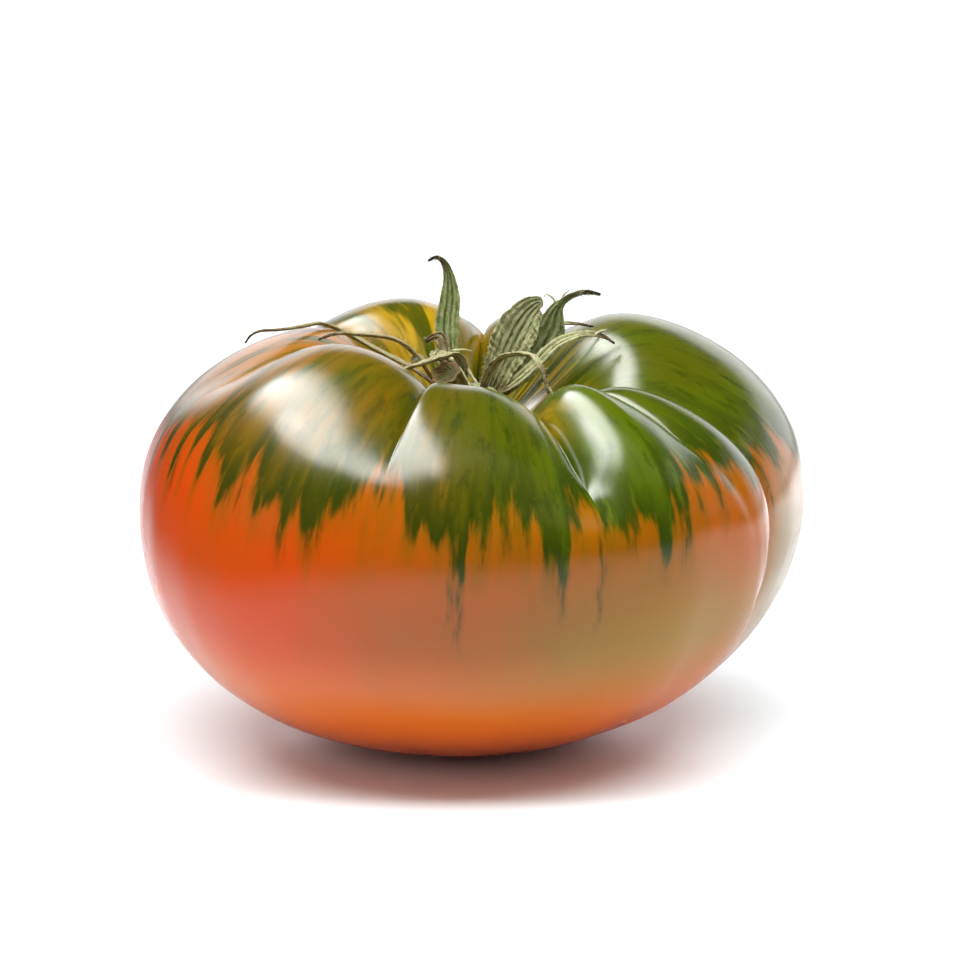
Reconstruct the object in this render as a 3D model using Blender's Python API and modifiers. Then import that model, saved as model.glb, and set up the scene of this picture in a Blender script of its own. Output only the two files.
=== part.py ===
"""Raf tomato: a ribbed fruit, its dried calyx and the stub of its stalk, standing on +Z up at z = 0."""
import math

import bmesh
import bpy
import numpy as np
from mathutils import Matrix, Vector

MM = 0.001
CLEARANCE = 0.3  # mm between pieces that touch

# The fruit, in mm and degrees. Azimuths run counterclockwise from +X, and the front is at 270.
# Each lobe: name, azimuth of its crest, reach from the stem axis, height of its crest,
# azimuth of the crease after it, that crease's depth, height at which that crease fades out.
LOBES = (
    ("right", 15, 48.0, 58.5, 70, 2.5, 40),
    ("back", 78, 41.5, 55.0, 87, 4.0, 45),
    ("back_left", 116, 43.5, 59.0, 145, 4.5, 42),
    ("left", 168, 46.0, 57.0, 192, 3.5, 46),
    ("front_left", 220, 46.5, 59.5, 253, 3.0, 43),
    ("front", 265, 43.0, 55.0, 295, 5.8, 38),
    ("front_right", 310, 45.5, 57.5, 322, 2.4, 43),
    ("right_front", 331, 45.4, 50.0, 340, 2.6, 14),
)
MEAN_REACH = 45.0
MEAN_CREST = 56.5
WIDEST_AT = 34.0  # height of the widest part
SHOULDER_POWER = 2.85  # how square the outline is above the widest part, outwards and upwards
SHOULDER_ROUND = 2.15
BASE_POWER = 2.1  # and below it
BASE_ROUND = 2.15
CROWN_SCALE = 1.12  # makes up for the height that the pit takes from the crests
PIT_DEPTH = 14.0
PIT_RADIUS_X = 16.0
PIT_RADIUS_Y = 15.0
PIT_POWER = 3.0
PIT_MERGE = (2.0, 16.0)  # the lobes' own heights fade out between these radii, towards the axis
LEAN = 0.05  # the crown stands this far to the right for each mm of height
FLAT_CUT = 1.0  # what the flat spot takes off the round base
LOBE_SPREAD = 8.0  # how sharply reach and height change from one lobe to the next
CREASE_ROUND = 0.16  # smaller is a sharper crease
CREASE_FADE = 15.0  # height over which a crease fades in
CREASE_SOFT = (3.0, 13.0)  # above its end, a crease turns from a soft wave to a sharp fold over these heights
CREASE_START = (2.0, 17.0)  # radii in the pit between which a crease deepens
RIM_RADIUS = 26.0  # a crease has its full depth inside this radius
FLANK_CREASE = 0.12  # share of the crease's depth that goes on down the side
FLANK_TOP = (0.9, 1.5)  # polar angles between which that share begins, and ends
FLANK_END = (1.8, 3.0)
STEPS_PER_LOBE = 10
ROWS = 40
OUTLINE_STEPS = 4000  # fine steps for measuring lengths along the outline

# The calyx, in mm from the foot of the stem axis.
RECEPTACLE_CENTRE = (0.2, 0.6, 48.2)
RECEPTACLE_RADII = (4.3, 3.7, 1.9)
RECEPTACLE_SEGMENTS = 20
RECEPTACLE_RINGS = 10
SEPAL_THICKNESS = 0.7
SEPAL_STEPS = 14
SEPAL_ACROSS = 4
SEPAL_ROOT = 0.6  # share of a sepal's width at its root
SEPAL_FULL = 0.3  # how far along it reaches its full width
SEPAL_TIP = 0.22  # and at its tip
# Each sepal: the points that its midrib passes, its width, the way its broad side faces,
# how far its edges stand up from the midrib, and how late it tapers.
SEPALS = {
    "tall": dict(
        path=((-1.7, 2.0, 47.6), (-2.4, 2.6, 50.6), (-2.7, 3.6, 54.0), (-2.9, 4.4, 57.7),
              (-2.5, 5.0, 61.1), (-2.6, 5.4, 64.2), (-3.3, 5.4, 66.2), (-4.4, 5.2, 67.0), (-5.5, 5.0, 66.5)),
        width=3.4, face=(0.1, -1.0, 0.0), rise=0.5, taper=3.2),
    "ridged": dict(
        path=((2.4, 0.6, 47.6), (3.7, 0.6, 50.7), (5.1, 1.0, 54.0), (6.5, 1.6, 57.0),
              (8.1, 2.2, 59.5), (9.6, 2.6, 60.9), (10.5, 2.4, 61.0)),
        width=5.2, face=(0.2, -1.0, 0.2), rise=0.9, taper=3.4),
    "keeled": dict(
        path=((3.0, 2.2, 47.4), (5.6, 2.6, 49.9), (8.5, 3.2, 53.1), (10.8, 3.8, 56.6),
              (12.3, 4.2, 59.9), (14.0, 4.4, 61.5), (16.3, 4.4, 62.2), (18.5, 4.2, 61.9)),
        width=4.2, face=(0.5, -1.0, 0.1), rise=0.9, taper=1.5),
    "front_curl": dict(
        path=((2.0, -1.6, 47.8), (2.8, -1.8, 51.5), (4.5, -2.8, 54.2), (6.7, -4.0, 55.2),
              (8.9, -5.4, 55.2), (10.1, -6.8, 53.8), (10.8, -7.6, 52.0), (11.1, -8.2, 50.7)),
        width=1.9, face=(0.0, 0.2, 1.0), rise=0.3, taper=3.0),
    "left_front": dict(
        path=((-0.7, 1.6, 48.0), (-0.8, 1.6, 51.7), (-1.7, 0.4, 54.1), (-3.8, -1.8, 54.2),
              (-6.7, -3.8, 53.8), (-9.4, -5.6, 53.7), (-11.1, -6.4, 53.9)),
        width=1.9, face=(0.0, 0.2, 1.0), rise=0.3, taper=2.4),
    "left_thin": dict(
        path=((-2.8, 0.6, 48.0), (-4.9, 0.2, 50.8), (-6.6, -0.4, 53.5), (-8.1, -1.0, 55.3),
              (-9.7, -1.6, 56.6), (-11.9, -2.4, 57.4), (-14.7, -3.6, 57.9), (-17.4, -5.0, 58.4),
              (-19.2, -6.6, 58.4), (-20.4, -8.0, 58.2)),
        width=1.5, face=(0.0, 0.0, 1.0), rise=0.2, taper=2.4),
    "left_back": dict(
        path=((-2.8, 1.6, 48.2), (-7.3, 4.6, 51.5), (-12.2, 7.4, 54.0), (-17.1, 8.6, 56.6), (-20.5, 6.6, 58.3),
              (-23.1, 3.8, 58.5), (-26.0, 1.8, 58.3), (-28.7, 0.6, 58.0), (-31.1, -0.4, 56.9)),
        width=1.4, face=(0.0, 0.0, 1.0), rise=0.2, taper=2.4),
    "dry_curl": dict(
        path=((-2.3, 1.2, 48.0), (-3.1, 1.8, 51.6), (-3.4, 2.6, 54.3), (-3.8, 2.8, 56.1),
              (-4.9, 2.8, 56.1), (-5.9, 2.6, 55.5)),
        width=1.8, face=(0.3, -1.0, 0.3), rise=0.3, taper=2.4),
    "right_arch": dict(
        path=((3.0, 0.2, 48.0), (6.4, 0.2, 50.1), (9.5, 0.2, 52.8), (11.8, 0.2, 55.2),
              (14.3, 0.2, 56.6), (16.8, 0.3, 57.1), (18.9, 0.3, 56.7), (20.4, 0.2, 55.8)),
        width=2.0, face=(0.0, -0.6, 1.0), rise=0.4, taper=2.4),
    "right_back": dict(
        path=((2.6, 2.6, 48.0), (5.9, 4.4, 51.0), (9.8, 5.8, 54.8), (12.5, 6.4, 57.0),
              (15.1, 6.6, 57.2), (17.6, 6.4, 56.8)),
        width=1.4, face=(0.0, -0.4, 1.0), rise=0.2, taper=2.4),
}

# The stub of the stalk, in mm.
STALK_FOOT = (-1.6, -1.2, 49.2)
STALK_END = (-2.9, -3.4, 52.3)
STALK_RADIUS = 1.9
STALK_SIDES = 18
STALK_EDGE = 0.25
SOCKET_HEADROOM = 6.0  # how far the cutter of the stalk's socket passes the stub's end

SKIN = dict(colour=(0.56, 0.14, 0.02, 1.0), roughness=0.18)
SEPAL_GREEN = dict(colour=(0.24, 0.23, 0.09, 1.0), roughness=0.75)
STALK_OLIVE = dict(colour=(0.17, 0.13, 0.03, 1.0), roughness=0.8)


def smooth_step(value, start, end):
    """0 before start, 1 after end, and a smooth rise between them."""
    share = np.clip((value - start) / (end - start), 0.0, 1.0)
    return share * share * (3.0 - 2.0 * share)


def lobe_setting(index):
    """One column of the table of lobes, as numbers."""
    return np.array([lobe[index] for lobe in LOBES], float)


def across_lobes(turn):
    """The azimuth, the place across the lobe, and the depth and end of its crease, at a turn of 0 to 1.

    Every lobe takes an equal share of the turn, and its sides get finer steps than its crest."""
    share = np.mod(turn, 1.0) * len(LOBES)
    lobe = np.minimum(share.astype(int), len(LOBES) - 1)
    across = np.sin(math.pi / 2 * (2.0 * (share - lobe) - 1.0))
    crest = lobe_setting(1)
    after = lobe_setting(4)
    before = np.roll(after, 1)
    before[0] -= 360.0
    half = (after - before) / 2
    skew = (after + before) / 2 - crest
    azimuth = np.radians(crest[lobe] + half[lobe] * across + skew[lobe] * across ** 2)
    mix = 0.5 + 0.5 * np.sin(math.pi / 2 * across)
    depth = np.roll(lobe_setting(5), 1)[lobe] * (1 - mix) + lobe_setting(5)[lobe] * mix
    end = np.roll(lobe_setting(6), 1)[lobe] * (1 - mix) + lobe_setting(6)[lobe] * mix
    return azimuth, across, depth, end


def near_lobes(azimuth, index):
    """A setting of the lobes at any azimuth: their mean, weighted by how near each crest is."""
    angle = azimuth[:, None] - np.radians(lobe_setting(1))
    weight = np.exp(LOBE_SPREAD * (np.cos(angle) - 1.0))
    return weight @ lobe_setting(index) / weight.sum(axis=1)


def meridian(polar, reach, crest, pit_radius):
    """Radius and height of the plain outline at a polar angle: a superellipse each way, with the pit."""
    upper = polar < math.pi / 2
    sine = np.abs(np.sin(polar))
    cosine = np.abs(np.cos(polar))
    radius = reach * np.where(upper, sine ** (2 / SHOULDER_POWER), sine ** (2 / BASE_POWER))
    crest = MEAN_CREST + (crest - MEAN_CREST) * smooth_step(radius, *PIT_MERGE)
    rise = (crest - WIDEST_AT) * CROWN_SCALE * cosine ** (2 / SHOULDER_ROUND)
    rise = rise - PIT_DEPTH * np.exp(-((radius / pit_radius) ** PIT_POWER))
    fall = -WIDEST_AT * cosine ** (2 / BASE_ROUND)
    return radius, WIDEST_AT + np.where(upper, rise, fall)


def even_polar(share):
    """The polar angle at a share of the way down the mean outline, from the pit to the base."""
    polar = np.linspace(0.0, math.pi, OUTLINE_STEPS + 1)
    radius, height = meridian(polar, MEAN_REACH, MEAN_CREST, PIT_RADIUS_X)
    run = np.concatenate([[0.0], np.cumsum(np.hypot(np.diff(radius), np.diff(height)))])
    return np.interp(share * run[-1], run, polar)


def crease_share(polar, end):
    """How much of a crease's depth is there, and how soft it is: whole at the rim, and fading down the side."""
    radius, height = meridian(polar, MEAN_REACH, MEAN_CREST, PIT_RADIUS_X)
    upper = polar < math.pi / 2
    crown = upper & (radius < RIM_RADIUS)
    fading = smooth_step(height, end, end + CREASE_FADE)
    share = np.where(upper, smooth_step(radius, *CREASE_START) * np.where(crown, 1.0, fading), fading)
    flank = smooth_step(polar, *FLANK_TOP) * (1.0 - smooth_step(polar, *FLANK_END))
    firm = smooth_step(height, end + CREASE_SOFT[0], end + CREASE_SOFT[1])
    return share + FLANK_CREASE * flank, np.where(crown, 0.0, 1.0 - firm)


def crease_form(across, soft):
    """How far out the skin stands across a lobe, 0 to 1: round, or a wave where soft."""
    edge = CREASE_ROUND
    arch = np.sqrt(np.maximum(1.0 - across ** 2, 0.0) + edge ** 2)
    rounded = (arch - edge) / (math.sqrt(1.0 + edge ** 2) - edge)
    wave = 0.5 + 0.5 * np.cos(math.pi * across)
    return rounded * (1.0 - soft) + wave * soft


def fruit_surface(turn, share):
    """Points of the skin in mm. Turn is 0 to 1 round the axis, and share is 0 to 1 from the pit to the base."""
    azimuth, across, depth, end = across_lobes(turn)
    reach = near_lobes(azimuth, 2)
    crest = near_lobes(azimuth, 3)
    pit_radius = np.hypot(PIT_RADIUS_X * np.cos(azimuth), PIT_RADIUS_Y * np.sin(azimuth))
    polar = even_polar(share)
    radius, height = meridian(polar, reach, crest, pit_radius)
    nudge = 1e-3
    ahead = meridian(np.minimum(polar + nudge, math.pi), reach, crest, pit_radius)
    behind = meridian(np.maximum(polar - nudge, 0.0), reach, crest, pit_radius)
    run = np.stack([ahead[0] - behind[0], ahead[1] - behind[1]])
    run /= np.linalg.norm(run, axis=0)
    there, soft = crease_share(polar, end)
    drop = depth * there * (1.0 - crease_form(across, soft))
    radius = radius + run[1] * drop
    height = height - run[0] * drop
    points = np.stack([radius * np.cos(azimuth), radius * np.sin(azimuth), height], axis=1)
    points[:, 0] += LEAN * (points[:, 2] - WIDEST_AT)
    points[:, 2] = np.maximum(points[:, 2], FLAT_CUT) - FLAT_CUT
    return points


def path_points(path, count):
    """Evenly spaced points along a smooth curve through the given ones."""
    given = np.array(path, float)
    padded = np.vstack([2 * given[0] - given[1], given, 2 * given[-1] - given[-2]])
    place = np.linspace(0, len(given) - 1, 40 * len(given))
    first = np.minimum(place.astype(int), len(given) - 2)
    share = (place - first)[:, None]
    a, b, c, d = (padded[first + step] for step in range(4))
    curve = 0.5 * (2 * b + (c - a) * share + (2 * a - 5 * b + 4 * c - d) * share ** 2
                   + (3 * b - a - 3 * c + d) * share ** 3)
    run = np.concatenate([[0.0], np.cumsum(np.linalg.norm(np.diff(curve, axis=0), axis=1))])
    wanted = np.linspace(0.0, run[-1], count)
    return np.stack([np.interp(wanted, run, curve[:, axis]) for axis in range(3)], axis=1)


def unit_rows(vectors):
    return vectors / np.linalg.norm(vectors, axis=1, keepdims=True)


def material(name, colour, roughness):
    made = bpy.data.materials.new(name)
    made.use_nodes = True
    shader = made.node_tree.nodes["Principled BSDF"]
    shader.inputs["Base Color"].default_value = colour
    shader.inputs["Roughness"].default_value = roughness
    shader.inputs["Metallic"].default_value = 0.0
    made.diffuse_color = colour
    return made


def new_object(name, bm, collection, look=None):
    mesh = bpy.data.meshes.new(name)
    bm.to_mesh(mesh)
    bm.free()
    made = bpy.data.objects.new(name, mesh)
    collection.objects.link(made)
    if look:
        mesh.materials.append(look)
    return made


def move_vertices(bm, points):
    for vertex, point in zip(bm.verts, points):
        vertex.co = Vector(point) * MM


def make_fruit(collection):
    """The fruit, and the x and y in mm of the foot of its stem axis once its box is centred on the origin."""
    bm = bmesh.new()
    bmesh.ops.create_uvsphere(bm, u_segments=STEPS_PER_LOBE * len(LOBES), v_segments=ROWS, radius=1.0)
    ball = np.array([vertex.co for vertex in bm.verts])
    turn = np.round(np.arctan2(ball[:, 1], ball[:, 0]) / (2 * math.pi), 6)
    share = np.arccos(np.clip(ball[:, 2], -1.0, 1.0)) / math.pi
    points = fruit_surface(turn, share)
    foot = -(points.max(axis=0) + points.min(axis=0)) / 2
    foot[2] = 0.0
    move_vertices(bm, points + foot)
    bmesh.ops.triangulate(bm, faces=bm.faces)
    new_object("fruit", bm, collection, material("fruit_skin", **SKIN))
    return foot


def make_sepal(name, path, width, face, rise, taper, foot, collection):
    """A grid bent along the midrib's path, its edges raised, then thickened."""
    bm = bmesh.new()
    bmesh.ops.create_grid(bm, x_segments=SEPAL_STEPS, y_segments=SEPAL_ACROSS, size=1.0)
    flat = np.array([vertex.co for vertex in bm.verts])
    along = (flat[:, 0] + 1.0) / 2
    across = flat[:, 1]
    rib = path_points(path, SEPAL_STEPS + 1)
    tangent = unit_rows(np.gradient(rib, axis=0))
    side = unit_rows(np.cross(tangent, np.array(face)))
    normal = np.cross(side, tangent)
    step = np.round(along * SEPAL_STEPS).astype(int)
    widening = SEPAL_ROOT + (1 - SEPAL_ROOT) * np.clip(along / SEPAL_FULL, 0, 1)
    broad = widening * np.maximum(1 - along ** taper, SEPAL_TIP)
    points = rib[step] + side[step] * (width / 2 * broad * across)[:, None]
    points += normal[step] * (rise * broad * np.abs(across) ** 1.5)[:, None]
    move_vertices(bm, points + foot)
    bmesh.ops.triangulate(bm, faces=bm.faces)
    sepal = new_object("sepal_" + name, bm, collection)
    thicken = sepal.modifiers.new("Thickness", "SOLIDIFY")
    thicken.thickness = SEPAL_THICKNESS * MM
    thicken.offset = 0.0
    return sepal


def stalk_bar(radius, longer, foot):
    """A round bar of this radius on the stalk's axis, this much longer than the stub."""
    start = Vector(STALK_FOOT) + Vector(foot)
    along = Vector(STALK_END) - Vector(STALK_FOOT)
    length = along.length + longer
    turn = along.to_track_quat("Z", "Y").to_matrix().to_4x4()
    place = Matrix.Translation((start + along.normalized() * (length / 2)) * MM) @ turn
    bm = bmesh.new()
    bmesh.ops.create_cone(bm, cap_ends=True, segments=STALK_SIDES, radius1=radius * MM, radius2=radius * MM,
                          depth=length * MM, matrix=place)
    return bm


def make_calyx(collection, cutters, foot):
    """The receptacle with every sepal fused to it, and a socket that the stub of the stalk stands in."""
    bm = bmesh.new()
    place = Matrix.Translation((Vector(RECEPTACLE_CENTRE) + Vector(foot)) * MM)
    size = Matrix.Diagonal(Vector(RECEPTACLE_RADII) * MM).to_4x4()
    bmesh.ops.create_uvsphere(bm, u_segments=RECEPTACLE_SEGMENTS, v_segments=RECEPTACLE_RINGS, radius=1.0,
                              matrix=place @ size)
    calyx = new_object("calyx", bm, collection, material("sepal_green", **SEPAL_GREEN))
    sepals = bpy.data.collections.new("sepals")
    bpy.context.scene.collection.children.link(sepals)
    for name, sepal in SEPALS.items():
        make_sepal(name, foot=foot, collection=sepals, **sepal)
    fuse = calyx.modifiers.new("Fuse sepals", "BOOLEAN")
    fuse.operation = "UNION"
    fuse.solver = "EXACT"
    fuse.operand_type = "COLLECTION"
    fuse.collection = sepals
    bpy.context.view_layer.update()
    fused = bpy.data.meshes.new_from_object(calyx.evaluated_get(bpy.context.evaluated_depsgraph_get()))
    calyx.modifiers.clear()
    calyx.data = fused
    for sepal in list(sepals.objects):
        bpy.data.objects.remove(sepal)
    bpy.data.collections.remove(sepals)
    socket = new_object("stalk_socket", stalk_bar(STALK_RADIUS + CLEARANCE, SOCKET_HEADROOM, foot), cutters)
    socket.hide_render = True
    socket.display_type = "WIRE"
    cut = calyx.modifiers.new("Stalk socket", "BOOLEAN")
    cut.operation = "DIFFERENCE"
    cut.solver = "EXACT"
    cut.object = socket


def make_stalk(collection, foot):
    """The stub, with a worn edge. It starts clear of the bottom of its socket."""
    up = Vector(STALK_END) - Vector(STALK_FOOT)
    raised = np.array(foot) + np.array(up.normalized()) * CLEARANCE
    stalk = new_object("stalk", stalk_bar(STALK_RADIUS, 0.0, raised), collection,
                       material("stalk_olive", **STALK_OLIVE))
    edge = stalk.modifiers.new("Worn edge", "BEVEL")
    edge.width = STALK_EDGE * MM
    edge.segments = 2
    edge.limit_method = "ANGLE"


def main():
    for old in list(bpy.data.objects):
        bpy.data.objects.remove(old)
    parts = bpy.data.collections.new("raf_tomato")
    cutters = bpy.data.collections.new("cutters")
    bpy.context.scene.collection.children.link(parts)
    bpy.context.scene.collection.children.link(cutters)
    foot = make_fruit(parts)
    make_calyx(parts, cutters, foot)
    make_stalk(parts, foot)


main()
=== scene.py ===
import math

import bpy
import numpy as np
from mathutils import Matrix, Vector


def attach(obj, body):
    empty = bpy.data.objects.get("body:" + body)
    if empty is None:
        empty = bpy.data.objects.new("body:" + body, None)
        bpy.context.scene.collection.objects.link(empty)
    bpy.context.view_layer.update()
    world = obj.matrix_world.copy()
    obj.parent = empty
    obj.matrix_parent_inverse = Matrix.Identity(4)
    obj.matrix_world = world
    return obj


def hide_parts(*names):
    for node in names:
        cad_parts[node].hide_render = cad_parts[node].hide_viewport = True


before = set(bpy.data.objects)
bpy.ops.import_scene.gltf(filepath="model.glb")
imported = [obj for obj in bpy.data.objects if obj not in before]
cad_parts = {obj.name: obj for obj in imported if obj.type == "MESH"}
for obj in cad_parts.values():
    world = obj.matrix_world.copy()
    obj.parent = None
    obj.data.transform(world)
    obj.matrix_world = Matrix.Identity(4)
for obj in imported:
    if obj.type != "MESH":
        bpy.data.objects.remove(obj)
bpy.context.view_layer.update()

# a ripening raf tomato: its skin, dried calyx and stalk stub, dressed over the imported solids
mm = 0.001
phaseSpan = 6.28  # phases of the waves are drawn from 0 to this, in radians
paceSpread = (0.75, 1.25)  # and the waves of a wobble have their frequencies times a number between these


# small maths

# 0 before start, 1 after end, 3t^2 - 2t^3 between
def smoothStep(value, start, end):
    share = np.clip((value - start) / (end - start), 0.0, 1.0)
    return share * share * (3.0 - 2.0 * share)


# each vector over its own length
def unitRows(vectors):
    return vectors / np.maximum(np.linalg.norm(vectors, axis=-1, keepdims=True), 1e-12)


# an uneven wave of about -1 to 1: sines of rising frequency and falling height, their phases from the seed
def wobble(place, seed, waves=4):
    draw = np.random.default_rng(seed)
    total = np.zeros_like(place)
    for wave in range(1, waves + 1):
        pace = 2 * math.pi * wave * draw.uniform(*paceSpread)
        total += np.sin(pace * place + draw.uniform(0, phaseSpan)) / wave
    return total / sum(1 / wave for wave in range(1, waves + 1))


# points evenly spaced along a Catmull-Rom curve through the given ones
def pathPoints(path, count):
    given = np.array(path, float)
    padded = np.vstack([2 * given[0] - given[1], given, 2 * given[-1] - given[-2]])
    fineSteps = 60 * len(given)
    place = np.linspace(0, len(given) - 1, fineSteps)
    first = np.minimum(place.astype(int), len(given) - 2)
    t = (place - first)[:, None]
    a, b, c, d = (padded[first + step] for step in range(4))
    bent = (2 * a - 5 * b + 4 * c - d) * t ** 2 + (3 * b - a - 3 * c + d) * t ** 3
    curve = 0.5 * (2 * b + (c - a) * t + bent)
    run = np.concatenate([[0.0], np.cumsum(np.linalg.norm(np.diff(curve, axis=0), axis=1))])
    wanted = np.linspace(0.0, run[-1], count)
    return np.stack([np.interp(wanted, run, curve[:, axis]) for axis in range(3)], axis=1)


# the angles of so many columns round a piece, as a row
def turnsRound(around):
    return np.arange(around)[None, :] / around * 2 * math.pi


# a path's evenly spaced points, with the way across it on a side that faces a given way, and its normal
def pathFrame(path, count, face):
    line = pathPoints(path, count)
    tangent = unitRows(np.gradient(line, axis=0))
    side = unitRows(np.cross(tangent, np.array(face)))
    return line[:, None], side[:, None], np.cross(side, tangent)[:, None]


# the streaks' coordinates: a circle in x and y, and the way along in z
def flowRound(turn, size, along, shift=0.0):
    return np.stack(np.broadcast_arrays(np.cos(turn) * size, np.sin(turn) * size + shift, along), axis=-1)


# meshes

# triangles of rings of points: each ring joined to the next, both ends closed on a point of their own
def ringFaces(rings, around):
    ring = np.arange(rings - 1)[:, None] * around
    step = np.arange(around)[None, :]
    after = (step + 1) % around
    a, b, c, d = ring + step, ring + after, ring + around + after, ring + around + step
    sides = np.stack([a, b, c, a, c, d], axis=-1).reshape(-1, 3)
    start, end = rings * around, rings * around + 1
    lastRing = (rings - 1) * around
    startFan = np.stack([np.full(around, start), after[0], step[0]], axis=-1)
    endFan = np.stack([np.full(around, end), lastRing + step[0], lastRing + after[0]], axis=-1)
    return np.concatenate([sides, startFan, endFan])


# a mesh in mm made an object in metres, with its faces turned outwards and its values kept as attributes
def newPiece(name, points, faces, material, node, values=None):
    corners = points[faces]
    if np.einsum("ij,ij->i", corners[:, 0], np.cross(corners[:, 1], corners[:, 2])).sum() < 0:
        faces = faces[:, ::-1]
    mesh = bpy.data.meshes.new(name)
    mesh.from_pydata(points * mm, [], faces)
    mesh.shade_smooth()
    for key, value in (values or {}).items():
        kind, field = ("FLOAT_VECTOR", "vector") if value.ndim == 2 else ("FLOAT", "value")
        held = mesh.attributes.new(key, kind, "POINT")
        held.data.foreach_set(field, np.ascontiguousarray(value, np.float32).ravel())
    mesh.materials.append(material)
    piece = bpy.data.objects.new(name, mesh)
    bpy.context.scene.collection.objects.link(piece)
    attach(piece, "root")
    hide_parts(node)


# rings closed at both ends on the mean of the end row, for points and for every value. spare end rows give only
# that mean
def closeEnds(grid, spare=0):
    rings, around = grid.shape[0] - 2 * spare, grid.shape[1]
    flat = grid[spare:spare + rings].reshape(rings * around, -1)
    ends = [grid[row].reshape(around, -1).mean(axis=0) for row in (0, -1)]
    flat = np.vstack([flat, *ends])
    return flat if flat.shape[1] == 3 else flat[:, 0]


# a piece of rings of points: a grid of values is closed as the points are, a plain number is the same all over
def ringPiece(name, grid, values, material, node, spare=0):
    points = closeEnds(grid, spare)
    closed = {}
    for key, value in values.items():
        closed[key] = np.full(len(points), value) if np.isscalar(value) else closeEnds(value, spare)
    faces = ringFaces(grid.shape[0] - 2 * spare, grid.shape[1])
    newPiece(name, points, faces, material, node, closed)


# shader helpers

# each input takes a value, or the socket that feeds it
def feed(tree, node, inputs):
    for key, value in inputs.items():
        if isinstance(value, bpy.types.NodeSocket):
            tree.links.new(value, node.inputs[key])
        else:
            node.inputs[key].default_value = value


def addNode(tree, kind, inputs=None, **settings):
    node = tree.nodes.new(kind)
    for key, value in settings.items():
        setattr(node, key, value)
    feed(tree, node, inputs or {})
    return node


# first * (1 - share) + second * share
def mixColours(tree, share, first, second):
    node = addNode(tree, "ShaderNodeMix", {0: share, 6: first, 7: second}, data_type="RGBA")
    return node.outputs[2]


def sums(tree, way, first, second=0.0, third=0.0, clamp=False):
    node = addNode(tree, "ShaderNodeMath", {0: first, 1: second, 2: third}, operation=way, use_clamp=clamp)
    return node.outputs[0]


def times(tree, first, second):
    return sums(tree, "MULTIPLY", first, second)


# value + strength * (noise - 0.5)
def nudged(tree, value, noise, strength, clamp=False):
    return sums(tree, "MULTIPLY_ADD", sums(tree, "SUBTRACT", noise, 0.5), strength, value, clamp=clamp)


# a smooth step from toLow at low to toHigh at high
def between(tree, value, low, high, toLow=0.0, toHigh=1.0):
    inputs = {"Value": value, "From Min": low, "From Max": high, "To Min": toLow, "To Max": toHigh}
    return addNode(tree, "ShaderNodeMapRange", inputs, interpolation_type="SMOOTHSTEP").outputs["Result"]


# a value kept on the piece's points
def attribute(tree, name, output="Fac"):
    return addNode(tree, "ShaderNodeAttribute", attribute_name=name).outputs[output]


# an empty node group with named inputs (name, kind, value) and outputs (name, kind), and its two ends
def newGroup(name, inputs, outputs):
    group = bpy.data.node_groups.new(name, "ShaderNodeTree")
    for key, kind, value in inputs:
        socket = group.interface.new_socket(name=key, in_out="INPUT", socket_type=kind)
        if value is not None:
            socket.default_value = value
    for key, kind in outputs:
        group.interface.new_socket(name=key, in_out="OUTPUT", socket_type=kind)
    return group, group.nodes.new("NodeGroupInput"), group.nodes.new("NodeGroupOutput")


# streaks: noise on the flow attribute, whose x and y go round the piece and z goes along it
def makeStreaks():
    group, start, end = newGroup(
        "streaks",
        [("Flow", "NodeSocketVector", None), ("Across", "NodeSocketFloat", 10.0),
         ("Along", "NodeSocketFloat", 1.0), ("Detail", "NodeSocketFloat", 3.0),
         ("Roughness", "NodeSocketFloat", 0.55), ("Contrast", "NodeSocketFloat", 1.0)],
        [("Value", "NodeSocketFloat")])
    parts = addNode(group, "ShaderNodeSeparateXYZ", {0: start.outputs["Flow"]})
    x = times(group, parts.outputs[0], start.outputs["Across"])
    y = times(group, parts.outputs[1], start.outputs["Across"])
    z = times(group, parts.outputs[2], start.outputs["Along"])
    place = addNode(group, "ShaderNodeCombineXYZ", {0: x, 1: y, 2: z}).outputs[0]
    noise = addNode(group, "ShaderNodeTexNoise", {
        "Vector": place, "Scale": 1.0, "Detail": start.outputs["Detail"], "Roughness": start.outputs["Roughness"]})
    centred = sums(group, "SUBTRACT", noise.outputs["Fac"], 0.5)
    strong = sums(group, "MULTIPLY_ADD", centred, start.outputs["Contrast"], 0.5, clamp=True)
    group.links.new(strong, end.inputs["Value"])
    return group


grainSettings = {"fineTimes": 5.3, "fineShare": 0.35}  # the finer noise's scale and height, as shares of the coarse


# grain: two sizes of noise on the object's own coordinates, as a value and as a height for bumps
def makeGrain():
    group, start, end = newGroup(
        "fineGrain",
        [("Scale", "NodeSocketFloat", 500.0), ("Contrast", "NodeSocketFloat", 1.5)],
        [("Value", "NodeSocketFloat"), ("Height", "NodeSocketFloat")])
    place = addNode(group, "ShaderNodeTexCoord").outputs["Object"]
    scale = start.outputs["Scale"]
    coarse = addNode(group, "ShaderNodeTexNoise", {"Vector": place, "Scale": scale, "Detail": 3.0})
    fineScale = times(group, scale, grainSettings["fineTimes"])
    fine = addNode(group, "ShaderNodeTexNoise", {"Vector": place, "Scale": fineScale, "Detail": 2.0})
    both = sums(group, "MULTIPLY_ADD", fine.outputs["Fac"], grainSettings["fineShare"], coarse.outputs["Fac"])
    centred = sums(group, "SUBTRACT", coarse.outputs["Fac"], 0.5)
    value = sums(group, "MULTIPLY_ADD", centred, start.outputs["Contrast"], 0.5, clamp=True)
    group.links.new(value, end.inputs["Value"])
    group.links.new(both, end.inputs["Height"])
    return group


streaksGroup = makeStreaks()
grainGroup = makeGrain()


def useGroup(tree, group, inputs):
    node = tree.nodes.new("ShaderNodeGroup")
    node.node_tree = group
    feed(tree, node, inputs)
    return node.outputs


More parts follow.
